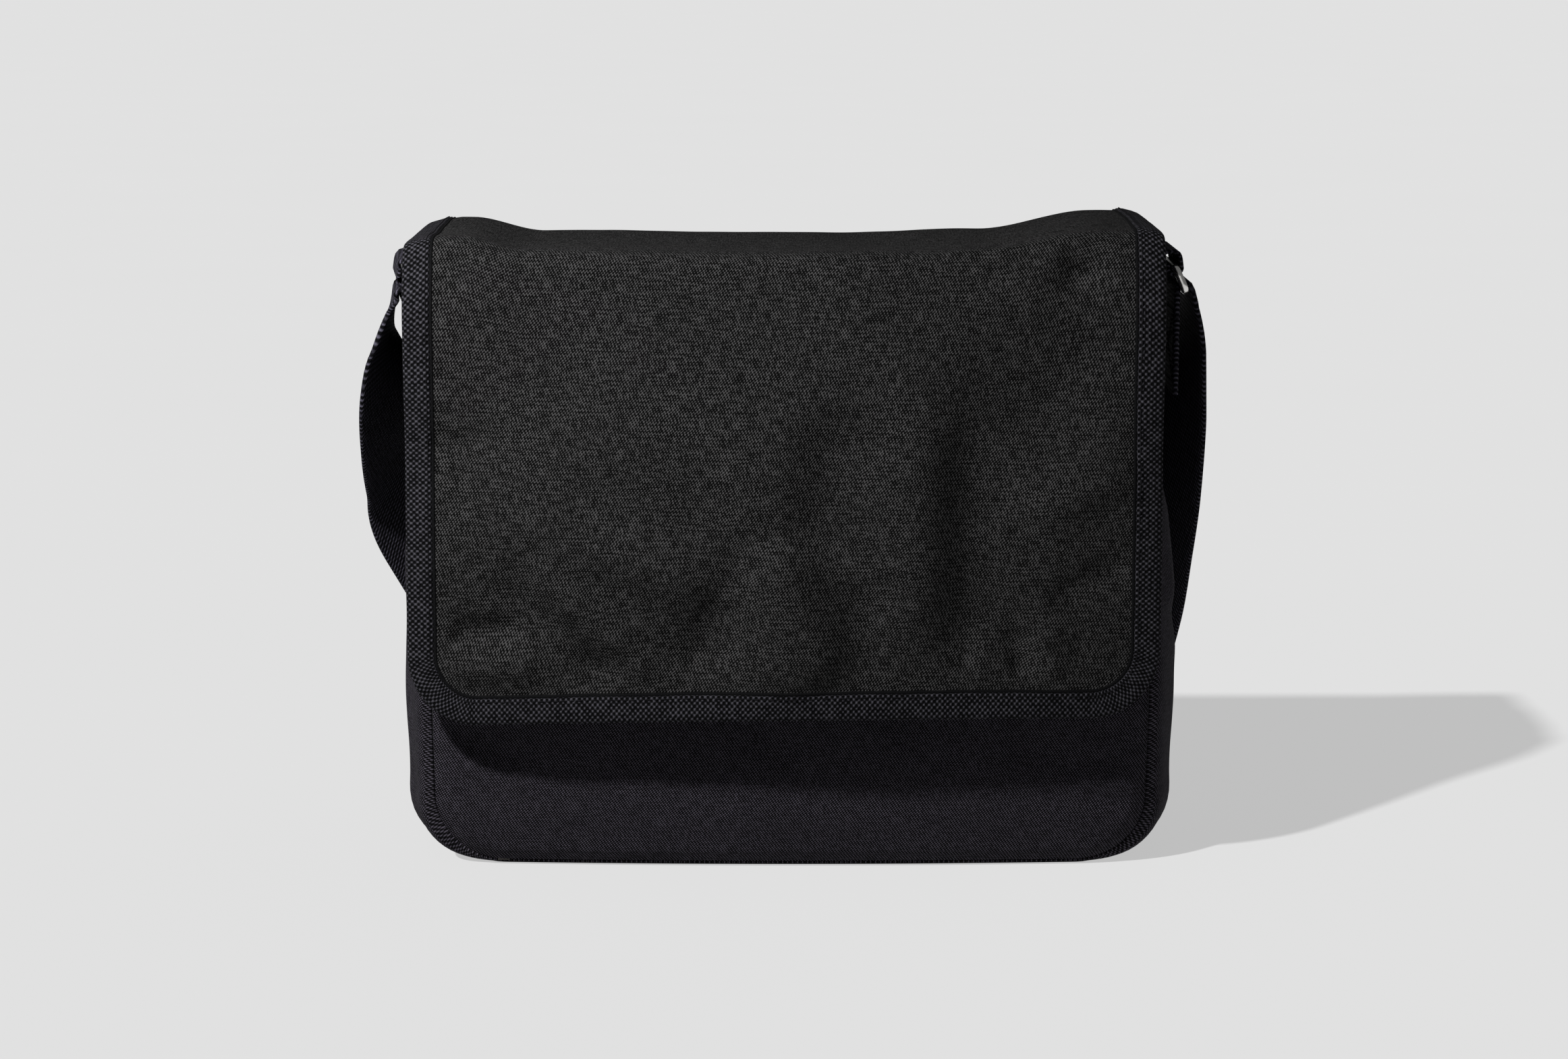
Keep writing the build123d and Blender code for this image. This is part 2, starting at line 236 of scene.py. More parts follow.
# ---- meshes ----
def mesh_piece(name, points, faces, uv, material):
    """A mesh object from points in millimetres. uv is each point's place on the flat cloth."""
    mesh = bpy.data.meshes.new(name)
    mesh.from_pydata((np.asarray(points) * MM).tolist(), [], faces)
    mesh.update()
    corners = np.zeros(len(mesh.loops), int)
    mesh.loops.foreach_get("vertex_index", corners)
    layer = mesh.uv_layers.new(name="cloth")
    layer.data.foreach_set("uv", (np.asarray(uv)[corners] * MM).astype(np.float32).ravel())
    mesh.polygons.foreach_set("use_smooth", np.ones(len(mesh.polygons), bool))
    mesh.materials.append(material)
    piece = bpy.data.objects.new(name, mesh)
    scene.collection.objects.link(piece)
    return piece


def quads(rows, columns, start=0, around=False, flip=False):
    """Faces of a grid of points. around joins the last column to the first."""
    faces = []
    for i in range(rows - 1):
        for j in range(columns if around else columns - 1):
            k = (j + 1) % columns
            face = [start + i * columns + j, start + i * columns + k,
                    start + (i + 1) * columns + k, start + (i + 1) * columns + j]
            faces.append(face[::-1] if flip else face)
    return faces


def sheet_piece(name, outside, inside, uv, material):
    """Cloth between two grids of points, closed round its rim. Seen from outside, its rows go down."""
    rows, columns = outside.shape[:2]
    count = rows * columns
    points = np.concatenate([outside.reshape(-1, 3), inside.reshape(-1, 3)])
    faces = quads(rows, columns, 0, flip=True) + quads(rows, columns, count)
    rim = list(range(columns))
    rim += [i * columns + columns - 1 for i in range(1, rows)]
    rim += [(rows - 1) * columns + j for j in range(columns - 2, -1, -1)]
    rim += [i * columns for i in range(rows - 2, 0, -1)]
    for a, b in zip(rim, rim[1:] + rim[:1]):
        faces.append([a, b, count + b, count + a])
    flat = uv.reshape(-1, 2)
    return mesh_piece(name, points, faces, np.concatenate([flat, flat]), material)


def swept_piece(name, rings, uv, material):
    """A solid through closed rings of points, with flat ends."""
    count, around = rings.shape[:2]
    faces = quads(count, around, 0, around=True)
    faces.append(list(range(around))[::-1])
    faces.append([(count - 1) * around + j for j in range(around)])
    return mesh_piece(name, rings.reshape(-1, 3), faces, uv.reshape(-1, 2), material)


def tape_piece(name, place, along, material):
    """Tape folded over an edge. place(a, b) is a inside the edge and b above the outer cloth."""
    end = TAPE_SHOWS
    outer = [(end, 0.1), (end - 0.1, 0.7), (end - 0.7, 1.0), (9, 1.15), (5, 1.25), (2, 1.15), (0.7, 0.8),
             (-0.1, 0.1), (-0.4, -0.9), (-0.2, -1.8), (0.5, -2.6), (2, -3.1), (6, -3.2), (end - 0.7, -3.0),
             (end, -2.7)]
    inner = [(end - 0.2, -2.2), (2.0, -2.2), (1.2, -1.6), (1.0, -1.0), (1.2, -0.4), (2.0, 0.05)]
    section = outer + inner
    rings = np.stack([place(a, b) for a, b in section], 1)
    around = lengths_along(np.array(section))
    return swept_piece(name, rings, grid_uv(around, along), material)


def stitches(name, line, up, material, length=2.7, pause=0.9, thick=0.55):
    """A row of stitches along a line of points, raised a little above the cloth in the direction up."""
    at = lengths_along(line)
    points, faces, uv = [], [], []
    rows, around = 5, 6
    shape = np.linspace(0, 1, rows)
    height = np.sin(np.pi * shape)
    angles = np.linspace(0, 2 * np.pi, around, endpoint=False)
    for s in np.arange(pause, at[-1] - length, length + pause):
        where = s + shape * length
        middle = np.stack([np.interp(where, at, line[:, k]) for k in range(3)], 1)
        above = unit(np.stack([np.interp(where, at, up[:, k]) for k in range(3)], 1))
        ahead = unit(middle[-1] - middle[0])
        side = unit(np.cross(above, ahead))
        radius = thick / 2 * (0.35 + 0.65 * height[:, None, None])
        ring = (middle + above * (height[:, None] * thick * 0.5))[:, None, :]
        ring = ring + radius * (side[:, None, :] * np.cos(angles)[None, :, None]
                                + above[:, None, :] * np.sin(angles)[None, :, None])
        first = len(points) * rows * around
        faces += quads(rows, around, first, around=True)
        faces.append([first + j for j in range(around)][::-1])
        faces.append([first + (rows - 1) * around + j for j in range(around)])
        points.append(ring.reshape(-1, 3))
        uv.append(grid_uv(angles * thick / 2, where).reshape(-1, 2))
    return mesh_piece(name, np.concatenate(points), faces, np.concatenate(uv), material)


def tape_stitches(name, place, low, high):
    """The stitches that hold a folded tape, low above the cloth. high is further from it on the same side."""
    seam = place(SEWN_AT, low)
    return stitches(name, seam, place(SEWN_AT, high) - seam, thread)


# ---- materials ----
class Shader:
    """A node material, written as short formulas. Cloth coordinates u and v are in metres."""

    def __init__(self, name, roughness):
        self.material = bpy.data.materials.new(name)
        self.material.use_nodes = True
        self.tree = self.material.node_tree
        self.surface = self.tree.nodes["Principled BSDF"]
        self.surface.inputs["Roughness"].default_value = roughness

    def node(self, kind, **settings):
        """A new node with its settings."""
        made = self.tree.nodes.new(kind)
        for key, value in settings.items():
            setattr(made, key, value)
        return made

    def put(self, socket, value):
        """Links a socket, or sets a plain value."""
        if isinstance(value, bpy.types.NodeSocket):
            self.tree.links.new(value, socket)
        else:
            socket.default_value = value

    def set(self, name, value):
        """Links or sets a socket of the surface."""
        self.put(self.surface.inputs[name], value)

    def math(self, operation, a, b=0.0, clamp=False):
        """One step of arithmetic."""
        made = self.node("ShaderNodeMath", operation=operation, use_clamp=clamp)
        self.put(made.inputs[0], a)
        self.put(made.inputs[1], b)
        return made.outputs[0]

    def cloth(self):
        """u and v of the flat cloth."""
        uv = self.node("ShaderNodeUVMap", uv_map="cloth").outputs["UV"]
        split = self.node("ShaderNodeSeparateXYZ")
        self.put(split.inputs[0], uv)
        return split.outputs[0], split.outputs[1]

    def object_point(self):
        """The place in metres."""
        return self.node("ShaderNodeTexCoord").outputs["Object"]

    def vector(self, x, y, z=0.0):
        made = self.node("ShaderNodeCombineXYZ")
        for socket, value in zip(made.inputs, (x, y, z)):
            self.put(socket, value)
        return made.outputs[0]

    def noise(self, vector, scale, detail=2.0):
        """Smooth noise between 0 and 1."""
        made = self.node("ShaderNodeTexNoise")
        self.put(made.inputs["Vector"], vector)
        made.inputs["Scale"].default_value = scale
        made.inputs["Detail"].default_value = detail
        return made.outputs["Fac"]

    def stretched_noise(self, u, v, across, along, detail=1.0):
        """Noise whose blots are across wide and along tall, in millimetres."""
        wide = self.math("MULTIPLY", u, 1 / (across * MM))
        tall = self.math("MULTIPLY", v, 1 / (along * MM))
        return self.noise(self.vector(wide, tall), 1.0, detail)

    def wave(self, value, period):
        """Cosine of a length, with its period in millimetres."""
        return self.math("COSINE", self.math("MULTIPLY", value, 2 * math.pi / (period * MM)))

    def mix(self, factor, dark, light):
        """A colour between two, dark where the factor is 0."""
        made = self.node("ShaderNodeMix", data_type="RGBA")
        self.put(made.inputs[0], factor)
        made.inputs[6].default_value = (*dark, 1)
        made.inputs[7].default_value = (*light, 1)
        return made.outputs[2]

    def shade(self, colour, factor):
        """The colour made darker or lighter by a factor."""
        made = self.node("ShaderNodeVectorMath", operation="SCALE")
        self.put(made.inputs[0], colour)
        self.put(made.inputs["Scale"], factor)
        return made.outputs[0]

    def scaled(self, value, factor, shift):
        """value times factor plus shift."""
        return self.math("ADD", self.math("MULTIPLY", value, factor), shift)

    def between(self, value, low, high, start=0.0, end=1.0):
        """Maps start..end to low..high, and no further."""
        made = self.node("ShaderNodeMapRange")
        self.put(made.inputs["Value"], value)
        made.inputs["From Min"].default_value = start
        made.inputs["From Max"].default_value = end
        made.inputs["To Min"].default_value = low
        made.inputs["To Max"].default_value = high
        return made.outputs["Result"]

    def bump(self, height, depth, strength=1.0):
        """Relief without geometry. depth is in millimetres."""
        made = self.node("ShaderNodeBump")
        made.inputs["Strength"].default_value = strength
        made.inputs["Distance"].default_value = depth * MM
        self.put(made.inputs["Height"], height)
        self.put(self.surface.inputs["Normal"], made.outputs["Normal"])


def woven(name, dark, light, across, rows, grain=0.4, depth=0.16, twill=False, slant=0.3, wander=0.35):
    """Woven cloth: light and dark yarns in offset rows, slow fading and a bump for each crossing.

    across and rows are the weave's two repeats and wander is how far its yarns stray, in millimetres."""
    made = Shader(name, 0.85)
    u, v = made.cloth()
    wander_u = made.scaled(made.stretched_noise(u, v, 5, 5), wander * MM, -wander / 2 * MM)
    wander_v = made.scaled(made.stretched_noise(v, u, 6, 6), wander * MM, -wander / 2 * MM)
    x = made.math("ADD", u, wander_u)
    y = made.math("ADD", v, wander_v)
    if twill:
        diagonal = made.math("ADD", x, y)
        height = made.math("MULTIPLY", made.wave(diagonal, across), 0.65)
        height = made.math("ADD", height, made.math("MULTIPLY", made.wave(y, rows), 0.35))
    else:
        sheared = made.math("SUBTRACT", x, made.math("MULTIPLY", y, slant))
        height = made.math("MULTIPLY", made.wave(sheared, across), made.wave(y, rows))
    weft = made.stretched_noise(u, v, 6, rows * 0.5)
    warp = made.stretched_noise(u, v, across * 0.5, 7)
    yarns = made.between(made.math("MULTIPLY", made.math("ADD", weft, warp), 0.5), -0.5, 0.5, 0.38, 0.62)
    uneven = made.math("MULTIPLY", yarns, grain)
    tone = made.math("ADD", made.scaled(height, 0.85, 0.38), uneven, clamp=True)
    tone = made.math("MULTIPLY", tone, tone)
    blots = made.noise(made.vector(u, v), 26, 3)
    colour = made.shade(made.mix(tone, dark, light), made.between(blots, 0.75, 1.25))
    made.set("Base Color", colour)
    made.set("Roughness", made.between(tone, 0.95, 0.75))
    made.set("Specular IOR Level", 0.06)
    made.bump(made.math("ADD", height, uneven), depth)
    return made.material


def steel(name, colour, roughness):
    """Nickel-plated steel with fine rubbing marks."""
    made = Shader(name, roughness)
    made.set("Metallic", 1.0)
    point = made.object_point()
    rub = made.noise(point, 900, 4)
    worn = made.noise(point, 120, 3)
    made.set("Roughness", made.between(rub, roughness * 0.6, roughness * 1.6))
    shade = made.mix(worn, tuple(0.82 * c for c in colour), colour)
    made.set("Base Color", shade)
    made.bump(rub, 0.02, 0.4)
    return made.material


def fibre_board(name, colour):
    """Pressed board with short fibres in it."""
    made = Shader(name, 0.8)
    point = made.object_point()
    fibres = made.noise(point, 700, 6)
    clumps = made.noise(point, 60, 3)
    shade = made.mix(fibres, tuple(0.6 * c for c in colour), colour)
    made.set("Base Color", made.shade(shade, made.between(clumps, 0.8, 1.2)))
    made.bump(fibres, 0.08)
    return made.material


def moulded(name, colour):
    """Dull moulded nylon with a fine sand texture."""
    made = Shader(name, 0.5)
    point = made.object_point()
    sand = made.noise(point, 2500, 3)
    cloud = made.noise(point, 90, 2)
    shade = made.mix(cloud, tuple(0.8 * c for c in colour), tuple(1.25 * c for c in colour))
    made.set("Base Color", shade)
    made.set("Roughness", made.between(sand, 0.42, 0.62))
    made.bump(sand, 0.05)
    return made.material


def brushed_tape(name, dark, light, spacing):
    """Closure tape: rows of small hooks or tufts of loops."""
    made = Shader(name, 0.75)
    u, v = made.cloth()
    tufts = made.math("MULTIPLY", made.wave(u, spacing), made.wave(v, spacing))
    fuzz = made.stretched_noise(u, v, 0.5, 0.5, 3)
    height = made.math("ADD", tufts, fuzz)
    tone = made.math("MULTIPLY", height, 0.6, clamp=True)
    made.set("Base Color", made.mix(tone, dark, light))
    made.set("Roughness", made.between(fuzz, 0.6, 0.9))
    made.bump(height, 0.4)
    return made.material


canvas_flap = woven("flap_canvas", (0.0002, 0.0002, 0.0002), (0.0365, 0.0357, 0.0360), across=1.5, rows=1.9,
                    grain=0.8, depth=0.2, wander=0.9)
# The body is sewn from the flap's canvas. Its copy is a little purpler and lighter: the lightening is painted
# light, making up for the lamp falling off towards the foot of the bag.
canvas_body_painted_light = woven("body_canvas_painted_light", (0.0004, 0.0003, 0.0005), (0.050, 0.0450, 0.0572), across=1.5, rows=1.6)
binding_tape = woven("binding_tape", (0.0001, 0.0001, 0.0002), (0.034, 0.0328, 0.0388), across=2.9, rows=2.5,
                     grain=0.5, depth=0.35, slant=0.0)
webbing = woven("strap_webbing", (0.001, 0.001, 0.0014), (0.044, 0.041, 0.055), across=2.4, rows=2.0,
                depth=0.22, twill=True)
lining_cloth = woven("lining_cloth", (0.010, 0.010, 0.011), (0.032, 0.031, 0.034), 0.5, 0.5, depth=0.05)
# Near-black cloth for the rolled seams between the panels, also used for the painted shadow beside the flap's
# tape.
seam_and_painted_shadow = woven("seam_and_painted_shadow", (0.0006, 0.0006, 0.0007), (0.003, 0.003, 0.0036), 0.6, 0.8, depth=0.05)
thread = woven("sewing_thread", (0.002, 0.002, 0.0024), (0.009, 0.0086, 0.0102), 0.4, 0.5, depth=0.04)
plated_steel = steel("plated_steel", (0.78, 0.77, 0.75), 0.22)
board_material = fibre_board("base_board_fibre", (0.05, 0.045, 0.04))
keeper_material = moulded("keeper_nylon", (0.012, 0.0115, 0.0135))
loop_material = brushed_tape("loop_tape_pile", (0.004, 0.004, 0.005), (0.03, 0.03, 0.034), 1.1)
hook_material = brushed_tape("hook_tape_hooks", (0.004, 0.004, 0.005), (0.02, 0.02, 0.024), 1.5)


# ---- shape of the flap ----
def face_y(z):
    """How far forward the flap's front face hangs at a height."""
    top, belly, bottom = -65.0, -79.5, flap_low[1] - 0.2
    heights = np.array([flap_bottom, 190.0, FLAP_TOP_Z])
    curve = np.polyfit(heights, [bottom, belly, top], 2)
    return np.polyval(curve, z)


def flap_line():
    """The flap seen from the side: up from the back seam, forward over the mouth and down the front."""
    down = np.linspace(FLAP_TOP_Z, flap_bottom, 40)
    front = np.stack([face_y(down), down], 1)
    over = np.array([(back_y + 1.4, back_z - 6), (back_y + 1.4, FLAP_TOP_Z), (0.0, FLAP_TOP_Z)])
    return rounded(np.concatenate([over, front]), 15.0)


FLAP_LINE = flap_line()
FLAP_AT = lengths_along(FLAP_LINE)
FLAP_LENGTH = FLAP_AT[-1]
FLAP_AHEAD = unit(np.gradient(FLAP_LINE, axis=0))


def shoulder_rise(x):
    """How much higher the flap stands over each end of the bag than over its middle."""
    left = 6.5 * smooth((-x - 118) / 34) + 0.8 * smooth((-x - 40) / 60) - 4 * smooth((-x - 158) / 20)
    right = 9 * smooth((x - 96) / 54) + 1.6 * smooth((x - 30) / 60) - 3 * smooth((x - 165) / 14)
    return np.where(x < 0, left, right)


def flap_relief(x, up):
    """Folds and hollows in the flap. up is the length of cloth above the lower edge."""
    z = up + flap_bottom
    # The deep folds near the middle: a crease, a ridge beside it and the hollow that runs up from the ridge.
    out = fold(x, z, (-16, 160), (-46, 100), 12, -7.0, 16)
    out += fold(x, z, (-8, 166), (22, 94), 26, 10.0, 15)
    out += fold(x, z, (28, 226), (14, 150), 16, -6.5, 22)
    out += fold(x, z, (38, 150), (34, 98), 12, -3.5)
    out += fold(x, z, (64, 230), (62, 104), 18, 4.4, 12)
    # The right half: a long upright valley, small puckers over the edge and the dent under the corner.
    out += fold(x, z, (88, 240), (88, 98), 13, -7.5, 26)
    out += fold(x, z, (140, 262), (112, 204), 34, -6.0, 18)
    out += fold(x, z, (105, 124), (112, 99), 4.5, -5.0, 7)
    out += fold(x, z, (94, 120), (90, 98), 5, 2.6, 4)
    out += fold(x, z, (122, 128), (126, 98), 8, 2.4)
    out += dent(x, z, (136, 281), (10, 9), -7.5)
    out += fold(x, z, (166, 200), (112, 172), 16, 4.5, 10)
    out += fold(x, z, (158, 154), (124, 136), 7, -4.4, 11)
    # The left half: a long slanting ridge and the hollows above the corner.
    out += fold(x, z, (-128, 176), (-30, 138), 9, 5.0, 22)
    out += fold(x, z, (-110, 188), (-24, 160), 14, -2.6)
    out += fold(x, z, (-136, 152), (-86, 100), 13, -5.6, 11)
    out += fold(x, z, (-118, 158), (-72, 110), 12, 4.2, 11)
    out += fold(x, z, (-120, 124), (-158, 122), 7, -6.4)
    out += fold(x, z, (-158, 110), (-112, 106), 8, 4.0)
    out += dent(x, z, (-87, 106), (8, 8), -5.5)
    out += fold(x, z, (-80, 122), (-62, 102), 5, 2.2)
    out += fold(x, z, (-166, 208), (-136, 212), 6, -2.6)
    # Along the top.
    out += fold(x, z, (72, 299), (142, 303), 4.5, 1.6)
    out += fold(x, z, (92, 291), (146, 293), 5, -1.4)
    out += 1.8 * waves(x, z, 62, 3.7)
    out += 0.5 * waves(x, z, 17, 9.2)
    return out


def flap_surface(x, s):
    """The flap's outer face at x across and s along its flat cloth."""
    y = np.interp(s, FLAP_AT, FLAP_LINE[:, 0])
    z = np.interp(s, FLAP_AT, FLAP_LINE[:, 1])
    ahead_y = np.interp(s, FLAP_AT, FLAP_AHEAD[:, 0])
    ahead_z = np.interp(s, FLAP_AT, FLAP_AHEAD[:, 1])
    free = smooth((inside_u(x, FLAP_LENGTH - s, flap_half, FLAP_CORNER) + 6) / 24) * smooth(s / 40)
    relief = flap_relief(x, FLAP_LENGTH - s) * free
    on_top = smooth((s - 2) / 16) * smooth((z - 215) / 75)
    edgeways = (x / flap_half) ** 2
    hangs = smooth((285 - z) / 90) * smooth(-y / 50)
    tilt = ((x / flap_half) * 2.0 + 2.0 - 4.6 * edgeways) * smooth((190 - z) / 110)
    drawn_back = 4.0 * smooth((np.abs(x) - 130) / 40) * smooth((z - 262) / 30) * smooth(-y / 60)
    out_y = y + ahead_z * relief + drawn_back + FLAP_ROUND * (edgeways - 0.4) * hangs
    out_z = z - ahead_y * relief + shoulder_rise(x) * on_top + tilt
    return np.stack([x + np.zeros_like(out_y), out_y, out_z], -1)


def flap_at(x, s, lift=0.0):
    """A place on the flap, lifted off its outer face."""
    x, s = np.broadcast_arrays(np.asarray(x, float), np.asarray(s, float))
    step = 1.0
    across = flap_surface(x + step, s) - flap_surface(x - step, s)
    along = flap_surface(x, s + step) - flap_surface(x, s - step)
    return flap_surface(x, s) + lift * unit(np.cross(along, across))


def evened_flap(x, s, lift):
    """The flap with its short folds evened out, as it lies under something stiff that is sewn to it."""
    reach = (-8.0, 0.0, 8.0)
    return sum(flap_at(x + across, s + along, lift) for across in reach for along in reach) / len(reach) ** 2


def flap_grid(margin, step=2.6):
    """x and s of a grid that fills the flap's outline, margin inside its edge."""
    low = FLAP_LENGTH - margin
    radius = FLAP_CORNER - margin
    half = flap_half - margin
    straight = np.linspace(0, low - radius, int((low - radius) / step))
    corner = low - radius + radius * np.sin(np.linspace(0, np.pi / 2, 22))[1:]
    s = np.concatenate([straight, corner])
    past = np.maximum(s - (low - radius), 0)
    width = half - radius + np.sqrt(np.maximum(radius**2 - past**2, 0))
    across = np.linspace(-1, 1, int(2 * half / step))
    return np.outer(width, across), np.repeat(s[:, None], len(across), 1)


def closure_grid(side, columns, rows):
    """x and z of a grid over the closure tape on one side."""
    middle = side * (hook_low[0] + hook_high[0]) / 2
    half = (hook_high[0] - hook_low[0]) / 2
    return np.meshgrid(np.linspace(middle - half, middle + half, columns),
                       np.linspace(hook_high[2], hook_low[2], rows))


# ---- the flap's pieces ----
def flap_pair(piece, *nodes):
    """Bakes a piece of the flap into place and hides the CAD nodes that it replaces."""
    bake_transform(piece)
    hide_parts(*nodes)
    return piece


def make_flap():
    """The flap's canvas, lining, edge tape, stitching and the hook half of the closure."""
    x, s = flap_grid(1.2)
    uv = np.stack([x, -s], 2)
    cloth = sheet_piece("flap_canvas", flap_at(x, s), flap_at(x, s, -CANVAS), uv, canvas_flap)
    flap_pair(cloth, "flap_top_panel", "flap_front_panel")
    under = -CANVAS - FLAP_LINING_GAP
    back = sheet_piece("flap_lining", flap_at(x, s, under), flap_at(x, s, under - LINING), uv, lining_cloth)
    flap_pair(back, "flap_top_lining", "flap_front_lining")

    line, inward, along = u_line(flap_half, flap_half, 0.0, FLAP_LENGTH, FLAP_CORNER, turns=14, step=2.0)

    def place(a, b):
        at = line + a * inward
        return flap_at(at[:, 0], at[:, 1], b)

    edge = tape_piece("flap_edge_tape", place, along, binding_tape)
    flap_pair(edge, "flap_top_binding_left", "flap_top_binding_right", "flap_front_binding")
    flap_pair(tape_stitches("flap_edge_stitches", place, 1.05, 2.0))
    # Painted shadow: a thin near-black roll on the canvas beside the tape stands for the shade in the groove
    # along the tape's inner edge.
    groove = [(-0.2, 0.2), (0.1, 0.5), (1.0, 0.5), (1.4, 0.1), (1.0, -0.2), (0.1, -0.2)]
    rings = np.stack([place(TAPE_SHOWS + a, b) for a, b in groove], 1)
    uv = grid_uv(np.arange(len(groove)) * 0.7, along)
    flap_pair(swept_piece("flap_edge_painted_shadow", rings, uv, seam_and_painted_shadow))
    flap_pair(tape_stitches("flap_inner_stitches", place, -3.05, -4.0))

    for name, side in SIDES.items():
        x, up = closure_grid(side, 14, 40)
        s = FLAP_LENGTH - (up - flap_bottom)
        patch = sheet_piece(f"hook_patch_{name}", evened_flap(x, s, -2.2), evened_flap(x, s, -4.2),
                            np.stack([x, up], 2), hook_material)
        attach(patch, "flap_front")
        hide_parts(f"hook_tape_{name}")


# ---- shape of the body ----
def lean(z):
    """The slack body settles a little to one side below the flap."""
    return 3.0 * smooth((210 - z) / 130)


def front_y(z):
    """The front panel's face in side view, from the CAD panel's foot, belly and rim."""
    foot, belly, rim = -53.6, -67.0, -57.4
    curve = np.polyfit([0.0, 150.0, rim_z], [foot, belly, rim], 2)
    return np.polyval(curve, z)


def front_relief(x, z):
    """Folds in the front panel, most of them below the flap's edge."""
    out = 3.2 * smooth((110 - z) / 80) * (1 - (x / panel_half) ** 2) * smooth((z - 4) / 26)
    out += fold(x, z, (-168, 74), (-126, 52), 8, -2.4)
    out += fold(x, z, (-160, 60), (-118, 42), 8, 1.6)
    out += fold(x, z, (-24, 78), (0, 52), 8, -1.8)
    out += fold(x, z, (20, 84), (60, 52), 10, 1.6)
    out += fold(x, z, (92, 70), (150, 46), 9, -1.6)
    out += fold(x, z, (138, 38), (172, 31), 4, -2.0)
    out += fold(x, z, (132, 46), (170, 40), 6, 1.4)
    out += fold(x, z, (-90, 40), (10, 36), 12, 0.8)
    out += (0.9 * waves(x, z, 48, 5.1) + 0.2 * waves(x, z, 14, 1.6)) * smooth((140 - z) / 60)
    return out


def front_at(x, z, inset=0.0):
    """A place on the front panel, inset towards the inside of the bag."""
    depth = inside_u(x, z - SEAM_Z, SEAM_HALF, SEAM_CORNER)
    turned_in = 4.2 * (1 - smooth((depth + 0.5) / 9)) + 1.2 * (1 - smooth(depth / 2.2))
    relief = front_relief(x, z) * smooth(depth / 14)
    y = front_y(z) + PANEL_ROUND * (x / panel_half) ** 2 - relief + turned_in + inset
    return np.stack([x + lean(z) + np.zeros_like(y), y, z + np.zeros_like(y)], -1)


def back_at(x, z, inset=0.0):
    """A place on the back panel, inset towards the inside of the bag."""
    depth = inside_u(x, z - SEAM_Z, SEAM_HALF, SEAM_CORNER)
    turned_in = 3.0 * (1 - smooth((depth + 0.5) / 7))
    slack = 0.9 * waves(x, z, 55, 8.3) * smooth(depth / 20) * smooth((back_z - 30 - z) / 50)
    y = back_y - turned_in + slack - inset
    return np.stack([x + lean(z) + np.zeros_like(y), y, z + np.zeros_like(y)], -1)


def panel_grid(top, step=3.2):
    """x and z of a grid that fills a panel's outline from its top edge down."""
    r = SEAM_CORNER
    turn_z = SEAM_Z + r
    corner = turn_z - r * np.sin(np.linspace(0, np.pi / 2, 24))
    z = np.concatenate([np.linspace(top, turn_z, int((top - turn_z) / step))[:-1], corner])
    past = np.maximum(turn_z - z, 0)
    taper = SEAM_IN * smooth((z - turn_z) / (rim_z - turn_z))
    width = SEAM_HALF + taper - r + np.sqrt(np.maximum(r**2 - past**2, 0))
    across = np.linspace(-1, 1, int(2 * SEAM_HALF / step))
    return np.outer(width, across), np.repeat(z[:, None], len(across), 1)


def gusset_swell(x, z, outward):
    """How far the gusset stands out from the seam: most at the sides near the base, least at the mouth."""
    fullest = body_half - panel_half + 1.0
    at_mouth = 1.5
    side = at_mouth + (fullest - at_mouth) * smooth((rim_z - z) / 215)
    under = SEAM_Z - 0.3
    facing_down = np.clip(-outward, 0, 1) ** 2
    return side * (1 - facing_down) + under * facing_down


def gusset_at(line, outward, w, inset=0.0):
    """The gusset's outer face. line is the seam's U, and w runs from 0 at the front seam to 1 at the back."""
    x, z = line[:, 0][:, None], line[:, 1][:, None]
    w = w[None, :]
    bent = 2 * np.abs(outward[:, 0] * outward[:, 1])[:, None]
    curve = (1 - np.abs(2 * w - 1) ** 2.6) ** (0.55 - 0.22 * bent)
    swell = (gusset_swell(x, z, outward[:, 1][:, None]) + CORNER_SWELL * bent) * curve
    sideways = np.abs(outward[:, 0][:, None])
    soft = sideways * smooth((rim_z - z) / 40 + 0.15) * np.sin(np.pi * w) ** 0.5
    across, up = w * 100 + 0 * x, z + 0 * w
    left_folds = 1.5 * np.cos(w * 21 + 0.004 * z) + fold(across, up, (4, 196), (50, 176), 9, 1.0)
    right_folds = 1.0 * np.cos(w * 15 + 1.1 + 0.01 * z)
    right_folds += fold(across, up, (11, 296), (12, 206), 8, 5.5)
    right_folds += fold(across, up, (12, 186), (18, 120), 9, 4.5)
    right_folds += fold(across, up, (10, 196), (50, 206), 7, -1.5)
    right_folds += fold(across, up, (6, 112), (60, 96), 11, 1.6)
    folds = np.where(x < 0, left_folds, right_folds) + waves(across * 1.1, up, 34, 2.2)
    swell = swell + soft * folds
    swell = swell - inset
    seam_y = front_y(z) + PANEL_ROUND * (x / panel_half) ** 2 + 4.2
    y = seam_y + (back_y - 2.6 - seam_y) * w
    out_x = x + outward[:, 0][:, None] * swell + lean(z)
    out_z = np.maximum(z + outward[:, 1][:, None] * swell, 0.25 + inset)
    return np.stack([out_x, y, out_z], 2)


def shell_piece(piece, slot, *nodes):
    """A piece that stays with the bag's body."""
    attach(piece, "shell")
    if nodes:
        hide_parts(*nodes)
    return piece


def body_layer(name, node, at, where, uv, lining=False):
    """Canvas or lining of one side of the body. at(*where, inset) is its grid."""
    start, thick = (CANVAS + LINING_GAP, LINING) if lining else (0.0, CANVAS)
    faces = [at(*where, start), at(*where, start + thick)]
    if at is back_at:
        # The back's grid runs as seen from inside.
        faces.reverse()
    piece = sheet_piece(name, *faces, uv, lining_cloth if lining else canvas_body_painted_light)
    shell_piece(piece, "lining" if lining else "canvas", node)


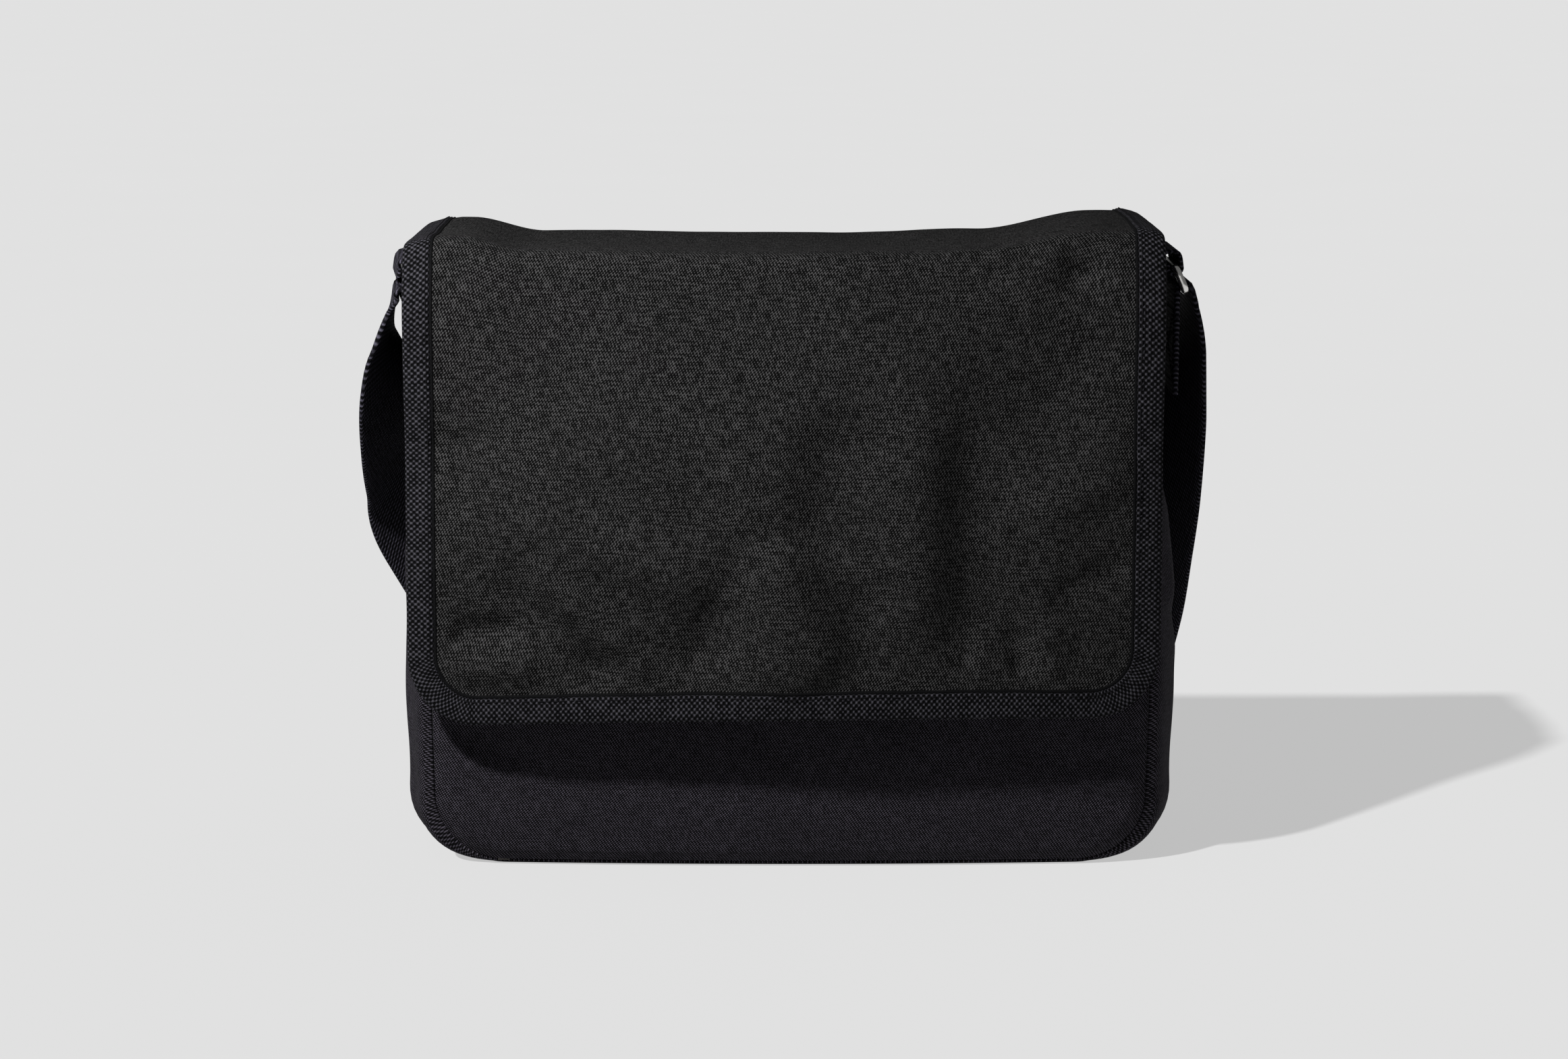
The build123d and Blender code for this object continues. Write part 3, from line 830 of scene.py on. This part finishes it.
def make_body():
    """Front, gusset and back, each with its lining, and the rolled seams between them."""
    inner = panel_grid(rim_z)
    inner_uv = np.stack(inner, 2)
    body_layer("front_canvas", "front_panel", front_at, inner, inner_uv)
    body_layer("front_lining_cloth", "front_lining", front_at, inner, inner_uv, lining=True)

    line, outward, along = u_line(panel_half, SEAM_HALF, rim_z, SEAM_Z, SEAM_CORNER, turns=16, step=3.0)
    w = np.concatenate([np.linspace(0, 0.12, 9)[:-1], np.linspace(0.12, 0.88, 40),
                        np.linspace(0.88, 1, 9)[1:]])
    gusset = (line, outward, w)
    uv = grid_uv(w * GUSSET_WIDTH, along)
    body_layer("gusset_canvas", "gusset", gusset_at, gusset, uv)
    body_layer("gusset_lining_cloth", "gusset_lining", gusset_at, gusset, uv, lining=True)

    for name, at, forward in (("front", front_at, -1), ("back", back_at, 1)):
        edge = at(line[:, 0], line[:, 1])
        angles = np.linspace(0, 2 * np.pi, 8, endpoint=False)
        rings = []
        for angle in angles:
            out = outward * SEAM_ROLL * math.cos(angle)
            depth = np.full(len(out), forward * SEAM_ROLL * math.sin(angle))
            rings.append(edge + np.stack([out[:, 0], depth, out[:, 1]], 1))
        uv = grid_uv(np.arange(len(angles)) * 0.8, along)
        shell_piece(swept_piece(f"{name}_seam", np.stack(rings, 1), uv, seam_and_painted_shadow), "canvas")

    outer = panel_grid(back_z)
    body_layer("back_canvas", "back_panel", back_at, outer, np.stack(outer, 2))
    body_layer("back_lining_cloth", "back_lining", back_at, inner, inner_uv, lining=True)


def hinge_piece(piece):
    """Bakes a piece that lies where the flap leaves the back panel into place."""
    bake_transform(piece)


def make_back_hinge():
    """The strip of canvas that joins the back panel to the flap, and its row of stitches."""
    s = np.linspace(0, 9.5, 10)
    x = np.linspace(-flap_half + 5, flap_half - 5, 110)
    x, s = np.meshgrid(x, s)
    uv = np.stack([x, -s], 2)
    piece = sheet_piece("back_hinge_strip", flap_at(x, s, 1.0), flap_at(x, s, 0.25), uv, canvas_flap)
    hinge_piece(piece)
    row = np.full_like(x[0], 3.0)
    seam = flap_at(x[0], row, 0.95)
    hinge_piece(stitches("back_hinge_stitches", seam, flap_at(x[0], row, 2.0) - seam, thread))


def make_mouth_tape():
    """Tape folded over the rim of the front panel and both ends of the gusset."""
    corner = panel_half + 0.6
    swollen = panel_half + 1.8
    rear = back_y - 6
    front = front_y(rim_z) + 1.0
    plan = [(-corner, rear), (-swollen, 25), (-swollen, -22), (-corner, front), (0, front),
            (corner, front), (swollen, -22), (swollen, 25), (corner, rear)]
    line = rounded(np.array(plan, float), 8.0, 2.0)
    outward = square_to(line)
    outward[np.sum(outward * line, 1) < 0] *= -1

    def place(a, b):
        flat = line + outward * b
        return np.stack([flat[:, 0], flat[:, 1], np.full(len(flat), rim_z + 1.0 - a)], 1)

    along = lengths_along(line)
    shell_piece(tape_piece("mouth_tape", place, along, binding_tape), "binding_tape", "mouth_binding")
    sewn = tape_stitches("mouth_tape_stitches", place, 1.1, 2.0)
    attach(sewn, "shell")


def finish_node(node, material):
    """Gives a CAD node that stays its material."""
    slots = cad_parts[node].data.materials
    slots.clear()
    slots.append(material)


def make_inside():
    """Pocket, its binding, the base board and the loop half of the closure."""
    half = (pocket_high[0] - pocket_low[0]) / 2
    wall = back_y - CANVAS - LINING_GAP - LINING - 0.3
    depth = pocket_high[1] - pocket_low[1]
    x, z = np.meshgrid(np.linspace(-half, half, 64), np.linspace(pocket_high[2], pocket_low[2], 48))

    def pocket_at(inset):
        side = smooth((half - np.abs(x)) / 16)
        foot = smooth((z - pocket_low[2]) / 22)
        sag = 1.2 * np.cos(x / 16) * smooth((z - pocket_high[2] + 40) / 40)
        y = wall - 1.4 - (depth - 1.4 + sag) * side * foot + inset
        hang = 1.5 * np.cos(x * np.pi / 2 / half) * smooth((z - pocket_low[2] - 90) / 40)
        return np.stack([x, y, z - hang], 2)

    uv = np.stack([x, z], 2)
    pocket = sheet_piece("pocket_canvas", pocket_at(0), pocket_at(CANVAS), uv, lining_cloth)
    shell_piece(pocket, "lining", "inner_pocket")
    edge = pocket_at(0)[0]
    edge_y = np.gradient(edge, axis=0)
    outward = unit(np.stack([edge_y[:, 1], -edge_y[:, 0]], 1))

    def place(a, b):
        out = edge.copy()
        out[:, :2] += outward * b
        out[:, 2] += 1.0 - a
        return out

    tape = tape_piece("pocket_tape", place, lengths_along(edge), binding_tape)
    shell_piece(tape, "binding_tape", "pocket_binding")
    finish_node("base_board", board_material)

    for name, side in SIDES.items():
        across, up = closure_grid(side, 12, 36)
        patch = sheet_piece(f"loop_patch_{name}", front_at(across, up, -1.6), front_at(across, up, -0.1),
                            np.stack([across, up], 2), loop_material)
        shell_piece(patch, "loop_tape", f"loop_tape_{name}")


# ---- strap ----
def ribbon(name, route, material, width=WEBBING_WIDTH, thick=WEBBING, step=2.2):
    """Flat webbing along a route. Each entry is a point and the direction that its width lies nearest to."""
    line = through([(*point, *near) for point, near in route], step)
    centre, near = line[:, :3], unit(line[:, 3:])
    ahead = unit(np.gradient(centre, axis=0))
    across = unit(near - ahead * np.sum(near * ahead, 1, keepdims=True))
    up = np.cross(ahead, across)
    half, t = width / 2, thick / 2
    flat = np.linspace(-1, 1, 13)
    section = [(half * f, t) for f in flat * (1 - 1.6 / width)]
    section += [(half, 0.45 * t), (half, -0.45 * t)]
    section += [(half * f, -t) for f in -flat * (1 - 1.6 / width)]
    section += [(-half, -0.45 * t), (-half, 0.45 * t)]
    rings = np.stack([centre + a * across + b * up for a, b in section], 1)
    along = lengths_along(centre)
    uv = grid_uv(np.array([a for a, _ in section]), along)
    return swept_piece(name, rings, uv, material), centre, across, up


# Each ring's two bars (X, Z), its turn in plan in degrees, and how far its strap's tail stands out.
RINGS = {
    "left": ((183.0, 281.5), (183.6, 270.9), 9.0, 3.0),
    "right": ((185.2, 286.0), (190.0, 275.4), 0.0, 0.0),
}
RUN_Y = 137.0
RUN_Z = 30.0
TAIL_Y = strap_rear_y - WEBBING / 2
# Both sides of the strap are written for the right-hand end: a point, and where the width points there.
RUNS = {
    "right": [
        ((195, 0, 271), (0, 1, 0)),
        ((196.6, 3, 250), (-0.15, 1, 0)),
        ((194, 12, 220), (-0.35, 0.9, 0)),
        ((190.8, 26, 184), (-0.5, 0.85, 0)),
        ((187.4, 46, 146), (-0.6, 0.7, 0.3)),
        ((184, 67, 111), (-0.6, 0.4, 0.6)),
        ((178, 89, 79), (-0.5, 0.1, 0.85)),
        ((168, 108, 55), (-0.2, 0, 1)),
        ((153, 123, 40), (0, 0, 1)),
        ((129, 133, 32), (0, 0, 1)),
        ((100, RUN_Y, RUN_Z), (0, 0, 1)),
    ],
    "left": [
        ((189, 0, 265), (0.05, 0.98, 0.1)),
        ((192.5, -1, 249), (-0.1, 0.97, 0.2)),
        ((192.5, 3, 231), (-0.4, 0.85, 0.35)),
        ((193, 20, 207), (-0.5, 0.7, 0.5)),
        ((193, 48, 180), (-0.55, 0.66, 0.46)),
        ((187.5, 62, 154), (-0.74, 0.48, 0.45)),
        ((178, 77, 130), (-0.66, 0.33, 0.64)),
        ((168, 94, 105), (-0.4, 0.2, 0.88)),
        ((155, 108, 78), (-0.2, 0.1, 0.97)),
        ((141, 120, 54), (-0.1, 0, 1)),
        ((122, 131, 37), (0, 0, 1)),
        ((100, RUN_Y, RUN_Z), (0, 0, 1)),
    ],
}


def on_side(name, route):
    """A route written for the right-hand end, put on the side named."""
    side = SIDES[name]
    return [((side * p[0], p[1], p[2]), (side * w[0], w[1], w[2])) for p, w in route]


def strap_side(name):
    """The folded tail below the ring, the turn over its lower bar and the run down to the back."""
    _, (bar_x, bar_z), turned, tail_out = RINGS[name]
    turn = WIRE_TURN + WEBBING / 2
    width = (math.sin(math.radians(turned)), math.cos(math.radians(turned)), 0)
    tail = 50.0
    drops = (tail, 0.68 * tail, 0.36 * tail)
    route = [((bar_x - turn + tail_out * drop / tail, 0, bar_z - drop), width) for drop in drops]
    for angle in range(0, 151, 30):
        a = math.radians(angle)
        route.append(((bar_x - turn * math.cos(a), 0, bar_z + turn * math.sin(a)), width))
    return on_side(name, route + RUNS[name])


def upright(points):
    """Webbing that stands on its edge behind the bag."""
    return [((x, y, RUN_Z), (0, 0, 1)) for x, y in points]


def box_stitch(name, centre, across, up, start, end, lift):
    """A sewn rectangle with a cross in it, on a stretch of webbing."""
    at = lengths_along(centre)
    inset = 4.0
    half = WEBBING_WIDTH / 2 - inset
    corners = [(start, -half), (end, -half), (end, half), (start, half), (start, -half), (end, half),
               (end, -half), (start, half)]
    flat = resampled(np.array(corners, float), 1.5)

    def on(values):
        return np.stack([np.interp(flat[:, 0], at, values[:, k]) for k in range(3)], 1)

    line = on(centre) + on(across) * flat[:, 1:2] + on(up) * lift
    return stitches(name, line, on(up) * math.copysign(1.0, lift), thread)


def strap_piece(piece, *nodes):
    """A piece that swings with the strap."""
    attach(piece, "strap")
    if nodes:
        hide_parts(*nodes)
    return piece


def make_strap():
    """The strap's two halves with their sewn ends, and the finish of its steel and nylon."""
    over_slider = [(67, (RUN_Y + TAIL_Y) / 2), (51, TAIL_Y), (19, TAIL_Y), (-75, TAIL_Y)]
    route = strap_side("right") + upright(over_slider)
    piece, centre, across, up = ribbon("strap_long_webbing", route, webbing)
    strap_piece(piece, "strap_long")
    strap_piece(box_stitch("strap_stitches_right", centre, across, up, 6, 40, WEBBING / 2))

    slider_low, slider_high = cad_box("slider_bar")
    bar = (slider_low + slider_high) / 2
    turn = (slider_high[0] - slider_low[0]) / 2 + 0.3 + WEBBING / 2
    angles = [math.radians(a) for a in range(0, 181, 30)]
    over_bar = [(bar[0] + turn * math.sin(a), bar[1] + turn * math.cos(a)) for a in angles]
    back = over_bar + [(bar[0] - 12, bar[1] - turn), (bar[0] - 32, bar[1] - turn)]
    route = strap_side("left") + upright([(-40, RUN_Y)]) + upright(back)
    piece, centre, across, up = ribbon("strap_short_webbing", route, webbing)
    strap_piece(piece, "strap_short")
    strap_piece(box_stitch("strap_stitches_left", centre, across, up, 6, 40, -WEBBING / 2))

    for node in ("ring_left", "ring_right", "slider_frame", "slider_bar"):
        finish_node(node, plated_steel)
    finish_node("strap_keeper", keeper_material)


def make_ring_tabs():
    """Webbing from inside the bag, over the rim, round the ring's upper bar and back on itself."""
    inside = panel_half - 3.5
    for name, side in SIDES.items():
        (bar_x, bar_z), _, turned, _ = RINGS[name]
        turn = WIRE_TURN + WEBBING / 2
        rim = [(inside, rim_z - 36), (inside, rim_z - 4),
               (inside + 2, rim_z + 2.6), (inside + 6, rim_z + 4.4)]
        over = [(bar_x - 3, max(bar_z + 7.6, rim_z + 3.8)), (bar_x + 1.8, bar_z + 6.6)]
        angles = [math.radians(a) for a in range(60, -240, -40)]
        eye = [(bar_x + turn * math.cos(a), bar_z + turn * math.sin(a)) for a in angles[1:]]
        width = (math.sin(math.radians(turned)), math.cos(math.radians(turned)), 0)
        route = [((a, 0, b), (0, 1, 0)) for a, b in rim]
        route += [((a, 0, b), width) for a, b in over + eye]
        route = on_side(name, route)
        piece, *_ = ribbon(f"ring_tab_webbing_{name}", route, webbing, TAB_WIDTH, TAB_WEBBING, step=1.2)
        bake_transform(piece)
        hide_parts(f"ring_tab_{name}")


# ---- floor, light and camera ----
def make_floor():
    """A plain pale floor that glows a little, so that it stays pale and its shadow stays soft."""
    made = Shader("studio_floor", 0.9)
    mottle = made.noise(made.object_point(), 3.0, 2)
    made.set("Base Color", made.mix(mottle, FLOOR_DARK, FLOOR_LIGHT))
    made.set("Specular IOR Level", 0.0)
    made.set("Emission Color", (1, 1, 1, 1))
    made.set("Emission Strength", FLOOR_GLOW)
    mesh = bpy.data.meshes.new("floor")
    corners = [(x * FLOOR_HALF, y * FLOOR_HALF, 0) for x, y in ((-1, -1), (1, -1), (1, 1), (-1, 1))]
    mesh.from_pydata(corners, [], [(0, 1, 2, 3)])
    mesh.materials.append(made.material)
    floor = bpy.data.objects.new("floor", mesh)
    scene.collection.objects.link(floor)
    return floor


def make_lamp(name, kind, energy):
    """A lamp that shines from the left, in front and above."""
    light = bpy.data.lights.new(name, kind)
    light.energy = energy
    lamp = bpy.data.objects.new(name, light)
    lamp.rotation_euler = LAMP_TILT
    scene.collection.objects.link(lamp)
    return lamp


def make_lights(floor):
    """The floor takes its light and its one long shadow from a far lamp. The bag takes its own from a nearer
    lamp in the same direction, so that it falls off across the bag as from a studio lamp on a stand."""
    world = bpy.data.worlds.new("studio")
    scene.world = world
    world.use_nodes = True
    world.node_tree.nodes["Background"].inputs[0].default_value = (1.0, 1.0, 1.0, 1)
    world.node_tree.nodes["Background"].inputs[1].default_value = SKY_STRENGTH

    far_lamp = make_lamp("far_lamp", "SUN", SUN_STRENGTH)
    far_lamp.data.angle = SUN_ANGLE
    near_lamp = make_lamp("near_lamp", "AREA", LAMP_POWER)
    near_lamp.data.shape = "DISK"
    near_lamp.data.size = LAMP_SIZE
    near_lamp.location = LAMP_AIM + LAMP_TOWARDS * LAMP_DISTANCE
    for lamp, state in ((far_lamp, "INCLUDE"), (near_lamp, "EXCLUDE")):
        receivers = bpy.data.collections.new(f"{lamp.name}_receivers")
        receivers.objects.link(floor)
        lamp.light_linking.receiver_collection = receivers
        receivers.collection_objects[0].light_linking.link_state = state
    scene.view_settings.view_transform = "Standard"


def make_camera():
    """The camera stands in front of the bag and looks a little down at it."""
    lens = bpy.data.cameras.new("camera")
    lens.lens = LENS
    lens.sensor_width = SENSOR
    lens.clip_end = 200.0
    camera = bpy.data.objects.new("camera", lens)
    camera.location = CAMERA_PLACE
    camera.rotation_euler = (math.radians(90 - CAMERA_DOWN), 0, 0)
    scene.collection.objects.link(camera)
    scene.camera = camera


make_camera()
make_flap()
make_body()
make_back_hinge()
make_mouth_tape()
make_inside()
make_strap()
make_ring_tabs()
make_lights(make_floor())
